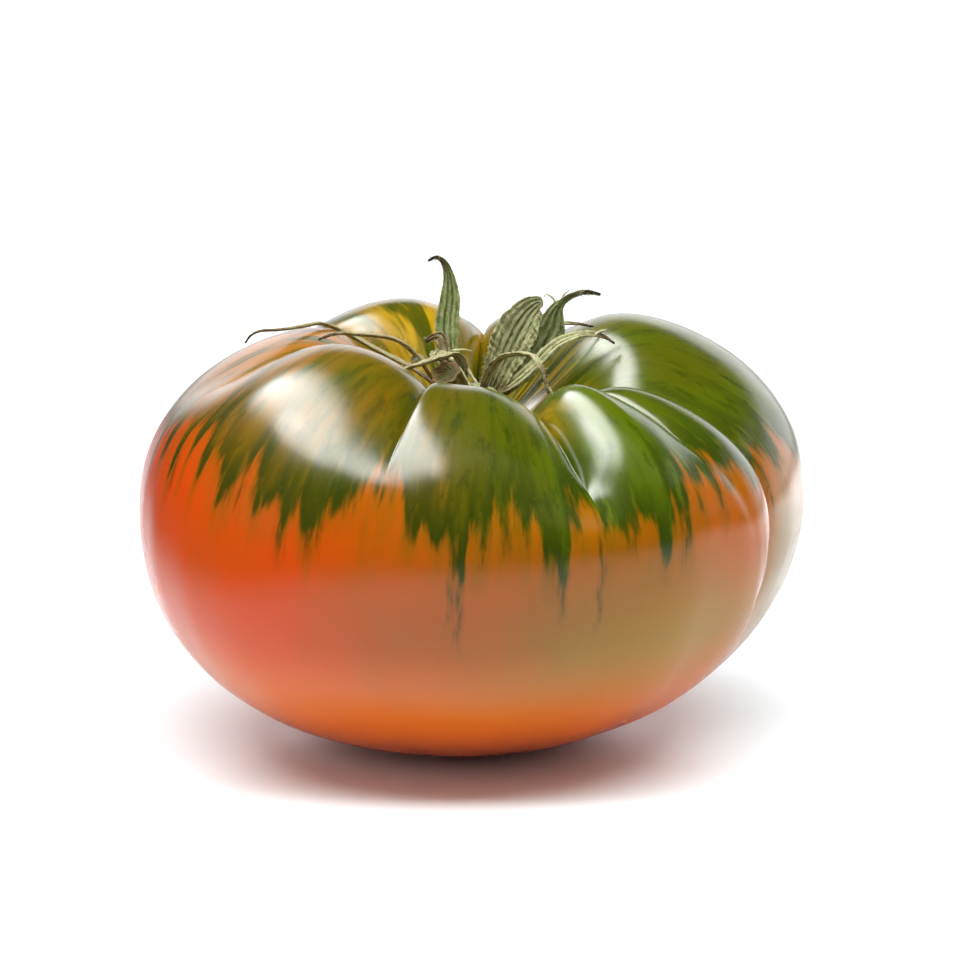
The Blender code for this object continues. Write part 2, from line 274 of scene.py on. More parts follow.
def streaks(tree, flow, across, along, detail=3.0, contrast=1.0, roughness=0.55):
    return useGroup(tree, streaksGroup, {"Flow": flow, "Across": across, "Along": along, "Detail": detail,
                                         "Contrast": contrast, "Roughness": roughness})["Value"]


def grain(tree, scale, contrast=1.5):
    outputs = useGroup(tree, grainGroup, {"Scale": scale, "Contrast": contrast})
    return outputs["Value"], outputs["Height"]


# a material's tree and shader, and its shader's plain values
def newMaterial(name, plain=None):
    material = bpy.data.materials.new(name)
    material.use_nodes = True
    tree = material.node_tree
    shader = tree.nodes["Principled BSDF"]
    for key, value in (plain or {}).items():
        shader.inputs[key].default_value = value
    return material, tree, shader


print("helpers and shader groups ready")


# the fruit: mm and degrees, azimuths counterclockwise from +X, the front at 270
fruitSettings = {
    # crest azimuth, reach, crest height, azimuth of the crease after it, its depth, height where it fades out,
    # its sharpness on this lobe, and on the next
    "lobes": (
        (15, 48.0, 58.5, 70, 2.5, 40, 2.0, 2.0),
        (78, 41.5, 55.0, 87, 4.0, 45, 2.0, 2.0),
        (116, 43.5, 59.0, 145, 4.5, 42, 2.0, 2.0),
        (168, 46.0, 57.0, 192, 3.5, 46, 2.4, 2.4),
        (220, 46.5, 59.5, 253, 2.6, 44, 3.4, 4.4),
        (265, 43.0, 55.0, 295, 6.2, 38, 1.8, 1.0),
        (310, 45.5, 57.5, 322, 2.4, 43, 2.0, 2.0),
        (331, 45.4, 50.0, 340, 2.6, 14, 1.9, 1.9),
    ),
    "meanReach": 45.0, "meanCrest": 56.5, "widestAt": 34.0,
    "shoulderPower": 2.85, "shoulderRound": 2.15, "basePower": 2.1, "baseRound": 2.15,
    "crownScale": 1.12, "pitDepth": 14.0, "pitRadius": (16.0, 15.0), "pitPower": 3.0, "pitMerge": (2.0, 16.0),
    "lean": 0.05, "flatCut": 1.0, "lobeSpread": 8.0,
    "creaseRound": 0.16, "creaseFade": 15.0, "creaseSoft": (3.0, 13.0), "creaseStart": (2.0, 17.0),
    "rimRadius": 26.0, "flankCrease": 0.12, "flankTop": (0.9, 1.5), "flankEnd": (1.8, 3.0),
    "rows": 110, "around": 864, "rowBunching": 1.08, "fineSteps": 4001,
    "unevenness": 0.22, "swellStart": (4.0, 20.0),  # mm of slow swell and dent, and the radii where it sets in
    "scarRadius": 3.2, "scarDepth": 0.7, "scarWithin": 14.0,  # where the flower was, underneath
}
# how low the green runs: azimuth, mean height of its edge
greenEdge = (
    (0, 43), (30, 44), (60, 42), (90, 44), (120, 43), (150, 44), (178, 45), (190, 46), (203, 49.5), (214, 48),
    (226, 43.5), (238, 42.5), (246, 44.5), (256, 43.5), (266, 42.5), (280, 42), (292, 42.5), (300, 40.5),
    (307, 40.5), (314, 44), (326, 43.8), (340, 43))
# drips below the edge: azimuth, height of the tip, half width
drips = (
    (188, 41, 1.8), (195.5, 42.5, 1.4), (203, 42, 1.0), (208, 43.5, 1.0), (213.5, 42, 1.3), (222, 41.5, 2.4),
    (231, 41, 2.0), (236, 40, 1.6), (240.8, 38.6, 2.0), (247, 43, 1.8), (259.3, 39, 1.8), (264.2, 38.5, 1.8),
    (268.0, 35.5, 2.0), (268.9, 33, 0.9), (272, 38.5, 1.8), (276.4, 39, 1.3), (280, 40, 1.6), (284.6, 35, 1.9),
    (287.0, 33, 1.3), (296, 39, 1.6), (298.2, 39, 1.4), (301.8, 38.5, 1.8), (303.6, 36.5, 1.4),
    (306.4, 34.5, 1.7), (311, 39, 1.4), (317, 42, 1.6), (320.6, 40.5, 1.2), (326, 43, 1.2), (334, 41, 2.0),
    (341, 41, 2.0), (349, 39.5, 2.4))
# more drips behind, drawn from the seed between these
hiddenDrips = {"seed": 7, "count": 34, "azimuth": (-5, 178), "tip": (33, 41), "halfWidth": (0.8, 2.4)}
# faint dark runs further down: azimuth, height of the top and the tip, half width
runs = (
    (235.7, 41, 33, 0.9), (268.9, 35, 22, 0.55), (267.3, 31, 25, 0.45), (276.8, 40, 35, 0.5), (287.2, 33, 26, 0.7),
    (294.3, 38, 24, 0.5), (240.6, 40, 34, 1.1), (242.8, 38, 35, 0.6), (310.2, 36, 32, 0.8), (300.6, 38, 34, 0.6),
    (226, 43, 38, 0.6), (204.5, 42, 37, 0.7), (321.5, 41, 35, 0.6), (343, 40, 33, 0.7), (30, 42, 34, 0.8),
    (75, 41, 33, 0.8), (101, 40, 30, 0.7), (139, 41, 33, 0.9), (164, 41, 36, 0.7))
runShape = {"sway": 0.35, "swayPace": 1.1, "below": 0.5, "fade": 5.0}  # degrees, radians per mm, mm, mm
# how red the flesh has turned below the green: azimuth, 0 ochre to 1 red
ripeness = (
    (0, 0.3), (40, 0.45), (80, 0.55), (120, 0.6), (160, 0.85), (195, 1.0), (225, 0.95), (245, 0.85),
    (256, 0.7), (264, 0.35), (272, 0.2), (285, 0.12), (300, 0.1), (322, 0.45), (340, 0.5))
# how leaf green the shoulders are: azimuth, 0 brown to 1 leaf
leafiness = (
    (168, 0.1), (200, 0.05), (235, 0.15), (270, 0.45), (308, 0.95), (335, 0.8), (5, 0.75), (35, 0.6), (78, 0.6),
    (116, 0.5))
# how tan the crown is: azimuth, share
tanCrown = (
    (0, 0.0), (30, 0.1), (70, 0.3), (110, 0.2), (132, 0.15), (150, 0.6), (170, 1.0), (195, 0.9), (215, 0.45),
    (235, 0.15), (255, 0.1), (280, 0.0), (300, 0.0), (330, 0.0))
# how strongly the creases glow gold: azimuth, share
creaseGlow = (
    (70, 0.5), (87, 0.5), (116, 0.4), (145, 0.6), (192, 0.2), (230, 0.0), (253, 0.0), (275, 0.1), (295, 0.4),
    (310, 0.3), (322, 0.2), (340, 0.2), (10, 0.4))
# how sharply each of these follows its stops
follow = {"greenEdge": 90.0, "ripeness": 30.0, "leafiness": 12.0, "tanCrown": 30.0, "creaseGlow": 60.0}
# where each tone lies, in mm, and in degrees where it says azimuth
toneSettings = {
    "glowWidth": 1.3, "glowDepth": 4.0, "glowInside": 6.0, "glowAbove": (46.5, 52.0), "tanAbove": (44.0, 54.0),
    "pitGold": (7.0, 18.0), "pitShare": 0.9, "corkRadius": (3.0, 5.5), "scarCork": 1.4,
    # gold on the crown: azimuth, its half width, radii between which it fades, share
    "goldPatches": ((120, 18, (19.0, 27.0), 1.0), (294, 8, (22.0, 33.0), 0.6)),
    "unripePatch": {"azimuth": 316, "halfWidth": 32, "height": 22, "halfHeight": 9, "share": 0.85},
    # where the painted grey reflection lies on the right flank: azimuths, heights and share
    "paintedSheenFlank": {"azimuthFrom": (-22.0, -12.0), "azimuthTo": (15.0, 60.0), "above": (4.0, 16.0),
                  "below": (32.0, 44.0), "share": 0.85},
}


# degrees from one azimuth to a place, the short way round
def degreesFrom(azimuth, place):
    return np.degrees(np.angle(np.exp(1j * (azimuth - math.radians(place)))))


# a value at any azimuth from stops (azimuth, value): their mean, weighted by nearness
def roundFruit(azimuth, stops, sharpness):
    angle = azimuth[..., None] - np.radians([stop[0] for stop in stops])
    weight = np.exp(sharpness * (np.cos(angle) - 1.0))
    return weight @ np.array([stop[1] for stop in stops], float) / weight.sum(axis=-1)


# radius and height of the plain outline at a polar angle: superellipses above and below the widest part,
# less the pit
def meridian(polar, reach, crest, pitRadius, s):
    upper = polar < math.pi / 2
    sine = np.abs(np.sin(polar))
    cosine = np.abs(np.cos(polar))
    radius = reach * np.where(upper, sine ** (2 / s["shoulderPower"]), sine ** (2 / s["basePower"]))
    crest = s["meanCrest"] + (crest - s["meanCrest"]) * smoothStep(radius, *s["pitMerge"])
    rise = (crest - s["widestAt"]) * s["crownScale"] * cosine ** (2 / s["shoulderRound"])
    rise = rise - s["pitDepth"] * np.exp(-((radius / pitRadius) ** s["pitPower"]))
    fall = -s["widestAt"] * cosine ** (2 / s["baseRound"])
    return radius, s["widestAt"] + np.where(upper, rise, fall)


# a value of each lobe, which runs over into the next lobe's along a sine, as a row for the grid's columns
def overLobes(onNext, onThis, lobe, mix):
    return (np.roll(onNext, 1)[lobe] * (1 - mix) + onThis[lobe] * mix)[None, :]


# the skin on a grid: each lobe takes an equal share of the columns, and the rows run from the pit to the base.
# from the meridian the skin drops along its normal by the crease's depth times 1 minus the form across the lobe
def fruitSurface(s):
    lobes = np.array(s["lobes"], float)
    count = len(lobes)
    turn = np.arange(s["around"]) / s["around"] * count
    lobe = np.minimum(turn.astype(int), count - 1)
    local = 2.0 * (turn - lobe) - 1.0
    across = 0.5 * local + 0.5 * np.sin(math.pi / 2 * local)
    before = np.roll(lobes[:, 3], 1)
    before[0] -= 360.0
    half = (lobes[:, 3] - before) / 2
    skew = (lobes[:, 3] + before) / 2 - lobes[:, 0]
    azimuth = np.radians(lobes[lobe, 0] + half[lobe] * across + skew[lobe] * across ** 2)[None, :]
    mix = 0.5 + 0.5 * np.sin(math.pi / 2 * across)
    depth = overLobes(lobes[:, 4], lobes[:, 4], lobe, mix)
    end = overLobes(lobes[:, 5], lobes[:, 5], lobe, mix)
    sharp = overLobes(lobes[:, 7], lobes[:, 6], lobe, mix)
    halfWidth = np.radians(half[lobe])[None, :]
    across = across[None, :]
    reach = roundFruit(azimuth, lobes[:, [0, 1]], s["lobeSpread"])
    crest = roundFruit(azimuth, lobes[:, [0, 2]], s["lobeSpread"])
    pitRadius = np.hypot(s["pitRadius"][0] * np.cos(azimuth), s["pitRadius"][1] * np.sin(azimuth))

    fine = np.linspace(0.0, math.pi, s["fineSteps"])
    radius, height = meridian(fine, s["meanReach"], s["meanCrest"], s["pitRadius"][0], s)
    run = np.concatenate([[0.0], np.cumsum(np.hypot(np.diff(radius), np.diff(height)))])
    down = (np.arange(s["rows"] + 2) / (s["rows"] + 1)) ** s["rowBunching"]
    polar = np.interp(down * run[-1], run, fine)[:, None]
    meanRadius, meanHeight = meridian(polar, s["meanReach"], s["meanCrest"], s["pitRadius"][0], s)

    radius, height = meridian(polar, reach, crest, pitRadius, s)
    nudge = 1e-3
    ahead = meridian(np.minimum(polar + nudge, math.pi), reach, crest, pitRadius, s)
    behind = meridian(np.maximum(polar - nudge, 0.0), reach, crest, pitRadius, s)
    slope = np.stack([ahead[0] - behind[0], ahead[1] - behind[1]])
    slope /= np.linalg.norm(slope, axis=0)

    upper = polar < math.pi / 2
    crown = upper & (meanRadius < s["rimRadius"])
    fading = smoothStep(meanHeight, end, end + s["creaseFade"])
    starting = smoothStep(meanRadius, *s["creaseStart"])
    there = np.where(upper, starting * np.where(crown, 1.0, fading), fading)
    flank = smoothStep(polar, *s["flankTop"]) * (1.0 - smoothStep(polar, *s["flankEnd"]))
    softLow, softHigh = s["creaseSoft"]
    soft = np.where(crown, 0.0, 1.0 - smoothStep(meanHeight, end + softLow, end + softHigh))
    edge = s["creaseRound"]
    arch = np.sqrt(np.maximum(1.0 - np.abs(across) ** sharp, 0.0) + edge ** 2)
    rounded = (arch - edge) / (math.sqrt(1.0 + edge ** 2) - edge)
    form = rounded * (1.0 - soft) + (0.5 + 0.5 * np.cos(math.pi * across)) * soft
    drop = depth * (there + s["flankCrease"] * flank) * (1.0 - form)
    radius = radius + slope[1] * drop
    height = height - slope[0] * drop

    # slow swells and dents, and finer ribs that run down from the crown: each is its height times a sine of so
    # many waves round the fruit, times how it rises and falls from crown to base
    angle = azimuth + 0 * polar
    fall = polar + 0 * azimuth
    swell = 0.6 * np.sin(3 * angle + 2.1 * fall + 0.4) * np.sin(2.3 * fall + 1.0)
    swell = swell + 0.5 * np.sin(7 * angle - 1.7 * fall + 2.2) * np.sin(fall) ** 2
    swell = swell + 0.35 * np.sin(13 * angle + 0.8 * np.sin(3 * fall) + 1.3) * np.sin(fall) ** 2
    swell = swell + 0.18 * np.sin(29 * angle + 0.5 * np.sin(5 * fall)) * np.sin(fall) ** 3
    push = s["unevenness"] * swell * smoothStep(meanRadius, *s["swellStart"])
    radius = radius - slope[1] * push
    height = height + slope[0] * push

    points = np.stack([radius * np.cos(azimuth), radius * np.sin(azimuth), height], axis=-1)
    points[..., 0] += s["lean"] * (points[..., 2] - s["widestAt"])
    points[..., 2] = np.maximum(points[..., 2], s["flatCut"]) - s["flatCut"]
    scar = np.exp(-((radius / s["scarRadius"]) ** 2)) * (~upper & (meanRadius < s["scarWithin"]))
    points[..., 2] += s["scarDepth"] * scar
    t = toneSettings
    nearCrease = (1.0 - np.abs(across)) * halfWidth * np.maximum(meanRadius, t["glowInside"])
    glow = np.exp(-((nearCrease / t["glowWidth"]) ** 2)) * there * (depth / t["glowDepth"])
    glow = glow * roundFruit(azimuth, creaseGlow, follow["creaseGlow"])
    flow = flowRound(azimuth, 1.0, down[:, None] * run[-1] / s["meanReach"])
    return points, angle, meanRadius + 0 * azimuth, upper + 0 * azimuth, glow, scar, flow


# the height of the green's edge: its mean height, less the deepest drip there, each a bump of exp(-away^4) whose
# away is in half widths
def edgeHeight(azimuth):
    s = hiddenDrips
    draw = np.random.default_rng(s["seed"])
    hidden = [tuple(draw.uniform(*s[key]) for key in ("azimuth", "tip", "halfWidth")) for _ in range(s["count"])]
    base = roundFruit(azimuth, greenEdge, follow["greenEdge"])
    deepest = np.zeros_like(base)
    for place, tip, width in list(drips) + hidden:
        away = degreesFrom(azimuth, place)
        deepest = np.maximum(deepest, (base - tip) * np.exp(-((away / width) ** 4)))
    return base - deepest


# how dark the faint runs are at a place: full along each, less to its sides and its tip
def runShare(azimuth, height):
    s = runShape
    total = np.zeros_like(height)
    for place, top, tip, width in runs:
        away = degreesFrom(azimuth, place) + s["sway"] * np.sin(height * s["swayPace"] + place)
        along = smoothStep(height, tip - s["below"], tip + s["fade"])
        along = along * (1.0 - smoothStep(height, top, top + s["fade"]))
        total = np.maximum(total, along * np.exp(-((away / width) ** 2)))
    return total


# how unripe the flesh is: a bell in azimuth and height
def unripeShare(azimuth, height):
    s = toneSettings["unripePatch"]
    away = degreesFrom(azimuth, s["azimuth"]) / s["halfWidth"]
    return s["share"] * np.exp(-(away ** 2) - ((height - s["height"]) / s["halfHeight"]) ** 2)


# painted reflection: the flesh is painted pale and greyish where the right flank mirrors the pale floor and
# backdrop, fullest on the right side behind its crease, from mid height down
def paintedSheenShare(azimuth, height):
    s = toneSettings["paintedSheenFlank"]
    turned = degreesFrom(azimuth, 0)
    sideways = smoothStep(turned, *s["azimuthFrom"]) * (1.0 - smoothStep(turned, *s["azimuthTo"]))
    return s["share"] * sideways * smoothStep(height, *s["above"]) * (1.0 - smoothStep(height, *s["below"]))


# how gold the crown is: the pit, and a bell round each patch's azimuth that fades with the radius
def crownGold(azimuth, radius):
    s = toneSettings
    gold = (1.0 - smoothStep(radius, *s["pitGold"])) * s["pitShare"]
    for place, halfWidth, fade, share in s["goldPatches"]:
        bell = np.exp(-((degreesFrom(azimuth, place) / halfWidth) ** 2))
        gold = np.maximum(gold, share * (1.0 - smoothStep(radius, *fade)) * bell)
    return gold


skinLook = {
    "ochre": (0.28, 0.11, 0.001, 1), "red": (0.66, 0.066, 0.001, 1), "orange": (0.68, 0.18, 0.001, 1),
    # pale is the colour of the painted grey reflection on the right flank
    "base": (0.80, 0.13, 0.001, 1), "unripe": (0.34, 0.20, 0.006, 1), "pale": (0.32, 0.27, 0.13, 1),
    "veil": (0.20, 0.095, 0.001, 1), "brown": (0.15, 0.085, 0.001, 1), "olive": (0.075, 0.078, 0.001, 1),
    "leaf": (0.076, 0.115, 0.001, 1), "dark": (0.022, 0.038, 0.001, 1), "gold": (0.56, 0.34, 0.008, 1),
    "cork": (0.22, 0.13, 0.05, 1), "fleck": (0.55, 0.36, 0.08, 1), "tan": (0.34, 0.13, 0.004, 1),
    # streaks: across, along, detail, contrast, roughness
    "clouds": (2.6, 2.0, 3.0, 1.8), "wide": (10.0, 3.2, 2.0, 1.9), "fine": (27.0, 5.5, 3.0, 1.9),
    "hair": (95.0, 12.0, 2.0, 1.8), "blots": (17.0, 7.0, 4.0, 2.2, 0.65),
    "cloudRipe": 0.5, "cloudLeafy": 0.7, "edgeMoves": {"wide": 6.5, "fine": 5.5, "hair": 2.0},  # mm
    # smooth steps: from, to, and the shares there where they aren't 0 and 1. heights, and reaches over the edge
    "orangeLow": (24.0, 10.0, 0.0, 0.7), "baseLow": (17.0, 5.0, 0.0, 0.9),
    "veilReach": (-8.0, 3.0), "tipReach": (15.0, 1.0), "blotReach": (26.0, 6.0, 0.25, 0.75), "edge": (-1.8, 2.2),
    # the same on leafiness and on the streaks
    "oliveFrom": (0.0, 0.45), "leafFrom": (0.4, 1.0), "tipStreaks": (0.15, 0.55), "darkStreaks": (0.45, 0.85),
    "tanStreaks": (0.3, 0.65), "runStreaks": (0.3, 0.6, 0.25, 1.0), "goldStreaks": (0.35, 0.7),
    "glowStreaks": (0.3, 0.6, 0.25, 0.7),
    "veilShare": 0.75, "tipShare": 0.85, "hairShare": 0.15, "runShare": 0.75, "goldShare": 0.8,
    "fleckScale": 700.0, "fleckSize": (0.15, 0.05, 0.0, 0.07),
    "grainScale": 330.0, "gloss": (0.2, 0.8, 0.19, 0.25), "corkRough": 0.4,
    "bump": {"Strength": 0.2, "Distance": 0.00005},
    "plain": {"IOR": 1.42, "Coat Weight": 0.25, "Coat Roughness": 0.16, "Subsurface Weight": 0.06,
              "Subsurface Radius": (1.0, 0.3, 0.05), "Subsurface Scale": 0.003},
}


def makeSkinMaterial():
    look = skinLook
    material, tree, shader = newMaterial("tomatoSkin", look["plain"])
    flow = attribute(tree, "flow", "Vector")
    reach = attribute(tree, "above")
    ripe = attribute(tree, "ripe")
    crown = attribute(tree, "crown")
    height = attribute(tree, "height")

    # the flesh
    clouds = streaks(tree, flow, *look["clouds"])
    redness = nudged(tree, ripe, clouds, look["cloudRipe"], clamp=True)
    flesh = mixColours(tree, redness, look["ochre"], look["red"])
    flesh = mixColours(tree, attribute(tree, "unripe"), flesh, look["unripe"])
    flesh = mixColours(tree, between(tree, height, *look["orangeLow"]), flesh, look["orange"])
    flesh = mixColours(tree, between(tree, height, *look["baseLow"]), flesh, look["base"])
    # painted reflection: a pale grey sheen on the right flank, put into the flesh colour
    flesh = mixColours(tree, attribute(tree, "pale"), flesh, look["pale"])

    # how far above the green's streaky edge a place lies, and a veil of brown about the edge
    noises = {key: streaks(tree, flow, *look[key]) for key in look["edgeMoves"]}
    for key, move in look["edgeMoves"].items():
        reach = nudged(tree, reach, noises[key], move)
    wide, fine, hair = noises["wide"], noises["fine"], noises["hair"]
    veil = times(tree, between(tree, reach, *look["veilReach"]), look["veilShare"])
    flesh = mixColours(tree, veil, flesh, look["veil"])

    # the green: brown, olive and leaf, darker at its tips and in blots, tan in streaks on the crown
    leafy = nudged(tree, attribute(tree, "leafy"), clouds, look["cloudLeafy"], clamp=True)
    green = mixColours(tree, between(tree, leafy, *look["oliveFrom"]), look["brown"], look["olive"])
    green = mixColours(tree, between(tree, leafy, *look["leafFrom"]), green, look["leaf"])
    blots = streaks(tree, flow, *look["blots"])
    tips = times(tree, between(tree, reach, *look["tipReach"]), between(tree, fine, *look["tipStreaks"]))
    blotted = times(tree, between(tree, blots, *look["darkStreaks"]), between(tree, reach, *look["blotReach"]))
    darkHair = times(tree, between(tree, hair, *look["darkStreaks"]), look["hairShare"])
    darkness = sums(tree, "MAXIMUM", sums(tree, "MAXIMUM", times(tree, tips, look["tipShare"]), blotted), darkHair)
    green = mixColours(tree, darkness, green, look["dark"])
    tan = times(tree, attribute(tree, "tan"), between(tree, wide, *look["tanStreaks"]))
    green = mixColours(tree, tan, green, look["tan"])
    broken = times(tree, attribute(tree, "runs"), between(tree, hair, *look["runStreaks"]))
    flesh = mixColours(tree, times(tree, broken, look["runShare"]), flesh, look["dark"])
    skin = mixColours(tree, between(tree, reach, *look["edge"]), flesh, green)

    # gold on the crown and in the creases, pale flecks, and cork
    goldRun = times(tree, crown, between(tree, wide, *look["goldStreaks"]))
    skin = mixColours(tree, times(tree, goldRun, look["goldShare"]), skin, look["gold"])
    glow = times(tree, attribute(tree, "crease"), between(tree, fine, *look["glowStreaks"]))
    skin = mixColours(tree, glow, skin, look["gold"])
    place = addNode(tree, "ShaderNodeTexCoord").outputs["Object"]
    flecks = addNode(tree, "ShaderNodeTexVoronoi", {"Vector": place, "Scale": look["fleckScale"]})
    skin = mixColours(tree, between(tree, flecks.outputs["Distance"], *look["fleckSize"]), skin, look["fleck"])
    skin = mixColours(tree, attribute(tree, "cork"), skin, look["cork"])

    dull, bumps = grain(tree, look["grainScale"])
    rough = between(tree, dull, *look["gloss"])
    rough = sums(tree, "MULTIPLY_ADD", attribute(tree, "cork"), look["corkRough"], rough)
    bump = addNode(tree, "ShaderNodeBump", {**look["bump"], "Height": bumps})
    feed(tree, shader, {"Base Color": skin, "Roughness": rough, "Normal": bump.outputs[0]})
    return material


# the skin with its values. gives how far it was moved to stand on the middle of its base
def makeFruit():
    t = toneSettings
    points, azimuth, radius, upper, glow, scar, flow = fruitSurface(fruitSettings)
    foot = -(points.max(axis=(0, 1)) + points.min(axis=(0, 1))) / 2
    foot[2] = 0.0
    points = points + foot
    height = points[..., 2]
    tan = roundFruit(azimuth, tanCrown, follow["tanCrown"])
    values = {
        "flow": flow,
        "height": height,
        "runs": runShare(azimuth, height),
        "above": height - edgeHeight(azimuth),
        "ripe": roundFruit(azimuth, ripeness, follow["ripeness"]),
        "unripe": unripeShare(azimuth, height),
        "pale": paintedSheenShare(azimuth, height),
        "leafy": roundFruit(azimuth, leafiness, follow["leafiness"]),
        "crown": upper * crownGold(azimuth, radius),
        "crease": glow * smoothStep(height, *t["glowAbove"]),
        "tan": upper * smoothStep(height, *t["tanAbove"]) * tan,
        "cork": np.clip(upper * (1.0 - smoothStep(radius, *t["corkRadius"])) + t["scarCork"] * scar, 0.0, 1.0),
    }
    ringPiece("fruitSkin", points, values, makeSkinMaterial(), "fruit", spare=1)
    return foot


foot = makeFruit()
print("fruit made")


# the calyx
sepalShared = {
    "rings": 110, "around": 40, "edgeRise": 1.5,
    "thickness": 0.5, "thin": (0.45, 0.55),  # the share of it at no width, and what the full width adds
    "ribHeight": 0.2, "ribPlus": 0.3, "ribUnder": 0.5,
    "edgeWaves": 5.0, "crinkle": 0.14, "crinkleWaves": 7.0, "crinkleTurn": 0.6,
    "otherEdgeSeed": 50, "crinkleSeed": 9,  # added to the sepal's seed
    "flowReach": 45.0, "flowStep": 1.7,  # mm of the flow's unit, and how far apart the pieces lie in it
}
# stops of place along and share of the width
sepalShapes = {
    "lance": ((0, 0.6), (0.3, 1.0), (0.55, 0.95), (0.8, 0.6), (0.94, 0.28), (1, 0.12)),
    "leaf": ((0, 0.42), (0.2, 0.62), (0.42, 0.98), (0.55, 1.0), (0.7, 0.72), (0.82, 0.38), (0.92, 0.2), (1, 0.1)),
    "broad": ((0, 0.36), (0.25, 0.66), (0.55, 1.0), (0.75, 0.92), (0.9, 0.6), (0.97, 0.34), (1, 0.12)),
    "tailed": ((0, 0.36), (0.25, 0.72), (0.48, 1.0), (0.6, 0.85), (0.69, 0.45), (0.75, 0.2), (0.9, 0.14),
               (1, 0.08)),
}
# path of the midrib, width, the way the broad side faces, rise of the edges, shape, dryness 0 green to 1 straw,
# how brown, how burnt the tip is where it isn't 1, number of ribs, and how ragged the edges are
sepals = {
    "tall": dict(
        path=((-1.7, 2.0, 47.6), (-2.4, 2.6, 50.6), (-2.7, 3.6, 54.0), (-2.9, 4.4, 57.7),
              (-2.5, 5.0, 61.1), (-2.6, 5.4, 64.2), (-3.3, 5.4, 66.2), (-4.4, 5.2, 67.0), (-5.5, 5.0, 66.5)),
        width=3.3, face=(0.1, -1.0, 0.0), rise=0.5, shape="leaf", dry=0.2, brown=0.05, ribs=4, ragged=0.07),
    "ridged": dict(
        path=((2.4, 0.6, 47.6), (3.7, 0.6, 50.7), (5.1, 1.0, 54.0), (6.5, 1.6, 57.0),
              (8.1, 2.2, 59.5), (9.6, 2.6, 60.9), (10.5, 2.4, 61.0)),
        width=6.0, face=(0.2, -1.0, 0.2), rise=0.9, shape="broad", dry=0.55, brown=0.1, burnt=0.7, ribs=6,
        ragged=0.08),
    "keeled": dict(
        path=((3.0, 2.2, 47.4), (5.6, 2.6, 49.9), (8.5, 3.2, 53.1), (10.8, 3.8, 56.6),
              (12.3, 4.2, 59.9), (14.0, 4.4, 61.5), (16.3, 4.4, 62.2), (18.5, 4.2, 61.9)),
        width=5.2, face=(0.5, -1.0, 0.1), rise=0.9, shape="tailed", dry=0.25, brown=0.1, ribs=4, ragged=0.08),
    "frontCurl": dict(
        path=((2.0, -1.6, 47.8), (2.8, -1.8, 51.5), (4.5, -2.8, 54.2), (6.7, -4.0, 55.2),
              (8.9, -5.4, 55.2), (10.1, -6.8, 53.8), (10.8, -7.6, 52.0), (11.1, -8.2, 50.7)),
        width=1.9, face=(0.0, 0.2, 1.0), rise=0.3, shape="lance", dry=0.8, brown=0.35, ribs=3, ragged=0.12),
    "leftFront": dict(
        path=((-0.7, 1.6, 48.0), (-0.8, 1.6, 51.7), (-1.7, 0.4, 54.1), (-3.8, -1.8, 54.2),
              (-6.7, -3.8, 53.7), (-9.4, -5.6, 53.4), (-11.1, -6.4, 53.6)),
        width=1.9, face=(0.0, 0.2, 1.0), rise=0.3, shape="lance", dry=0.7, brown=0.45, ribs=3, ragged=0.1),
    "leftThin": dict(
        path=((-2.8, 0.6, 48.0), (-4.9, 0.2, 50.8), (-6.6, -0.4, 53.5), (-8.1, -1.0, 55.3),
              (-9.7, -1.6, 56.6), (-11.9, -2.4, 57.4), (-14.7, -3.6, 57.9), (-17.4, -5.0, 58.4),
              (-19.2, -6.6, 58.4), (-20.4, -8.0, 58.2)),
        width=1.3, face=(0.0, 0.0, 1.0), rise=0.2, shape="lance", dry=0.8, brown=0.6, ribs=2, ragged=0.1),
    "leftBack": dict(
        path=((-2.8, 1.6, 48.2), (-7.3, 4.6, 51.0), (-12.2, 7.8, 52.9), (-17.1, 9.2, 55.3), (-20.5, 7.4, 57.0),
              (-23.1, 4.2, 57.3), (-26.0, 1.8, 57.4), (-28.6, 0.6, 57.5), (-30.0, 0.0, 57.0), (-30.8, -0.4, 56.0)),
        width=1.1, face=(0.0, 0.0, 1.0), rise=0.2, shape="lance", dry=0.6, brown=0.6, ribs=2, ragged=0.1),
    "dryCurl": dict(
        path=((-2.3, 1.2, 48.0), (-3.1, 1.8, 51.6), (-3.4, 2.6, 54.3), (-3.8, 2.8, 56.1),
              (-4.9, 2.8, 56.1), (-5.9, 2.6, 55.5)),
        width=2.4, face=(0.3, -1.0, 0.3), rise=0.4, shape="lance", dry=1.0, brown=0.75, ribs=2, ragged=0.18),
    "rightArch": dict(
        path=((3.0, 0.2, 48.0), (6.4, 0.2, 50.1), (9.5, 0.2, 52.8), (11.8, 0.2, 55.2),
              (14.3, 0.2, 56.6), (16.8, 0.3, 57.1), (18.9, 0.3, 56.7), (20.4, 0.2, 55.8)),
        width=2.0, face=(0.0, -0.6, 1.0), rise=0.4, shape="lance", dry=0.6, brown=0.1, ribs=3, ragged=0.1),
    "rightBack": dict(
        path=((2.6, 2.6, 48.0), (5.9, 4.4, 51.0), (9.8, 5.8, 54.8), (12.5, 6.4, 57.0),
              (15.1, 6.6, 57.2), (17.6, 6.4, 56.8)),
        width=1.2, face=(0.0, -0.4, 1.0), rise=0.2, shape="lance", dry=0.9, brown=0.2, ribs=2, ragged=0.1),
}


